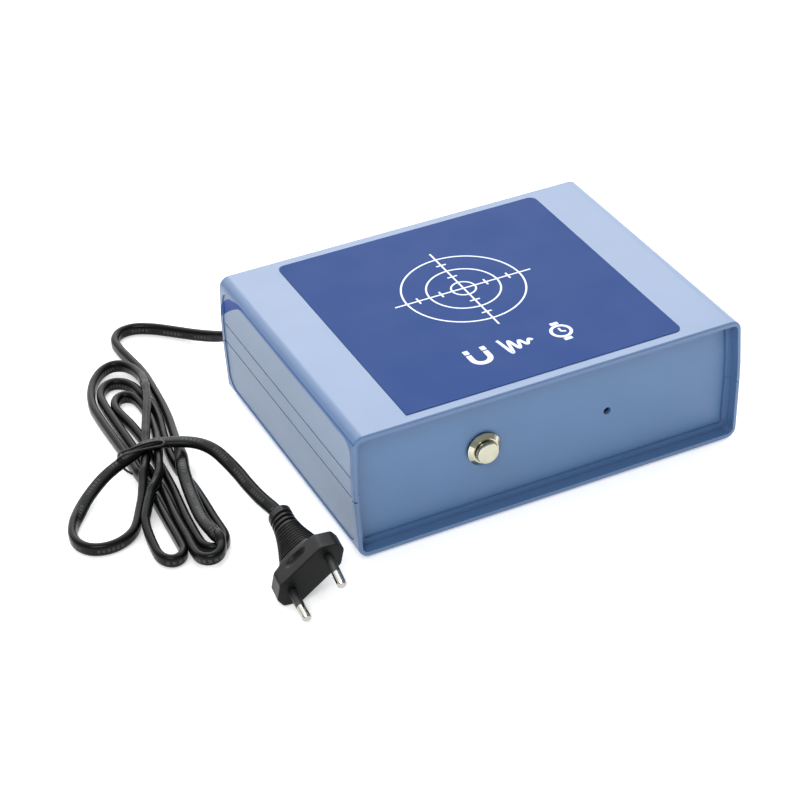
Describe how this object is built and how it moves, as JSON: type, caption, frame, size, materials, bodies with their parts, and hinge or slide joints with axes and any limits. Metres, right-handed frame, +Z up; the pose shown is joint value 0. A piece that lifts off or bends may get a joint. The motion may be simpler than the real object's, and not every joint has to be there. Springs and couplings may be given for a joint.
{
  "type": "watch demagnetizer",
  "caption": "Bench demagnetizer: shallow plastic box with a target label on top, a metal push button on the front panel and a flat mains cord that ends in a two-pin plug.",
  "frame": {"origin": "centre of the case's footprint, on the surface it stands on", "axes": "+Z up, -Y out of the front panel with the push button, +X to the right seen from the front, so the cord and plug lie at -X"},
  "size_m": [0.2597, 0.2223, 0.0558],
  "materials": {
    "lid_plastic": "pale blue moulded ABS, satin",
    "case_plastic": "mid blue moulded ABS, satin",
    "panel_plastic": "blue-grey sheet plastic, fine texture",
    "label_print": "printed polyester label, navy with white lines",
    "foot_rubber": "matt",
    "screw_steel": "zinc plated",
    "button_nickel": "bright nickel plate",
    "gasket_rubber": "matt",
    "spring_steel": "music wire",
    "switch_plastic": "moulded phenolic",
    "terminal_brass": "bare",
    "led_epoxy": "tinted epoxy, dark when off",
    "board_epoxy": "glass-epoxy board",
    "resistor_body": "lacquered",
    "diode_body": "moulded epoxy",
    "core_iron": "varnished lamination stack",
    "bobbin_nylon": "natural nylon",
    "enamelled_copper": "enamelled copper wire",
    "coil_tape": "polyester film tape",
    "strap_steel": "zinc plated",
    "live_insulation": "brown PVC",
    "neutral_insulation": "blue PVC",
    "switched_insulation": "black PVC",
    "cord_pvc": "black flexible PVC, faint sheen",
    "plug_pvc": "black moulded PVC",
    "pin_nickel": "nickel-plated brass",
    "sleeve_plastic": "black nylon"
  },
  "bodies": {
    "case": {"top_shell": "lid_plastic", "bottom_shell": "case_plastic", "front_panel": "panel_plastic", "rear_panel": "panel_plastic", "target_label": "label_print", "rubber_foot_1": "foot_rubber", "rubber_foot_2": "foot_rubber", "rubber_foot_3": "foot_rubber", "rubber_foot_4": "foot_rubber", "case_screw_1": "screw_steel", "case_screw_2": "screw_steel", "case_screw_3": "screw_steel", "case_screw_4": "screw_steel", "button_bezel": "button_nickel", "button_gasket": "gasket_rubber", "button_spring": "spring_steel", "switch_block": "switch_plastic", "switch_terminal_1": "terminal_brass", "switch_terminal_2": "terminal_brass", "button_lock_washer": "button_nickel", "button_nut": "button_nickel", "indicator_led": "led_epoxy", "led_board": "board_epoxy", "led_resistor": "resistor_body", "led_diode": "diode_body", "laminated_core": "core_iron", "coil_bobbin": "bobbin_nylon", "copper_winding": "enamelled_copper", "winding_tape": "coil_tape", "core_strap": "strap_steel", "strap_screw_1": "screw_steel", "strap_screw_2": "screw_steel", "live_wire": "live_insulation", "neutral_wire": "neutral_insulation", "switched_wire": "switched_insulation", "cord_strain_relief": "cord_pvc", "cord_lead": "cord_pvc", "cord_hank": "cord_pvc", "cord_tail": "cord_pvc", "plug_body": "plug_pvc", "plug_pin_1": "pin_nickel", "plug_pin_2": "pin_nickel", "pin_sleeve_1": "sleeve_plastic", "pin_sleeve_2": "sleeve_plastic"},
    "button": {"button_cap": "button_nickel"}
  },
  "joints": [
    {"name": "button_press", "type": "slide", "parent": "case", "child": "button", "axis": [0, 1, 0], "range_m": [0, 0.002], "stiffness_N_per_m": 300, "springref_m": -0.002, "deforming": ["button_spring"]}
  ]
}
